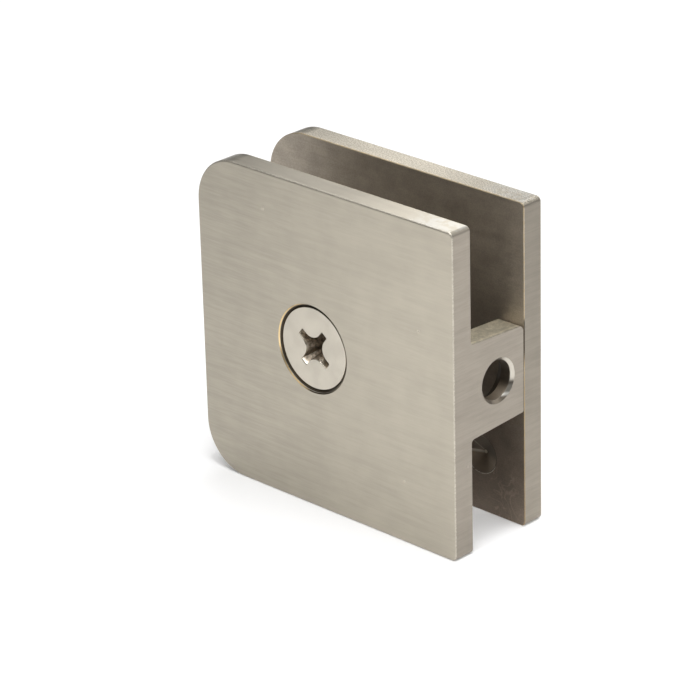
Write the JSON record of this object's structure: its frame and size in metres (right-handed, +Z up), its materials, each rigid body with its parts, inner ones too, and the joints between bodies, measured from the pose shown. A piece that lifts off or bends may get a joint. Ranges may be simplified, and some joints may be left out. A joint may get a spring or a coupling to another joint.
{
  "type": "glass u-clamp",
  "caption": "Square clamp for a fixed glass panel: it grips the glass between its plates, through a hole near the panel's edge, and screws to a wall.",
  "frame": {"origin": "centre of the wall face, on the axis of the wall bore", "axes": "+X out of the wall face into the wall, +Z up along the wall, +Y across the slot from the plate with the bridge to the cover plate"},
  "size_m": [0.05, 0.0186, 0.05],
  "materials": {
    "satin_nickel": "solid brass with a fine brushed, satin nickel plate",
    "screw_nickel": "smooth nickel-plated steel, brighter than the plates"
  },
  "bodies": {
    "bridge_plate": {"bridge_plate": "satin_nickel"},
    "clamp_screw": {"clamp_screw": "screw_nickel"},
    "cover_plate": {"cover_plate": "satin_nickel"}
  },
  "joints": [
    {"name": "clamp_screw_turn", "type": "hinge", "parent": "bridge_plate", "child": "clamp_screw", "pos_m": [-0.0274, 0, 0], "axis": [0, -1, 0], "range_deg": [0, 1080]},
    {"name": "cover_slide", "type": "slide", "parent": "bridge_plate", "child": "cover_plate", "axis": [0, 1, 0], "range_m": [0, 0.00381]}
  ],
  "couplings": [
    {"joint": "clamp_screw_turn", "follows": "cover_slide", "rad_per_m": 4947.3}
  ]
}
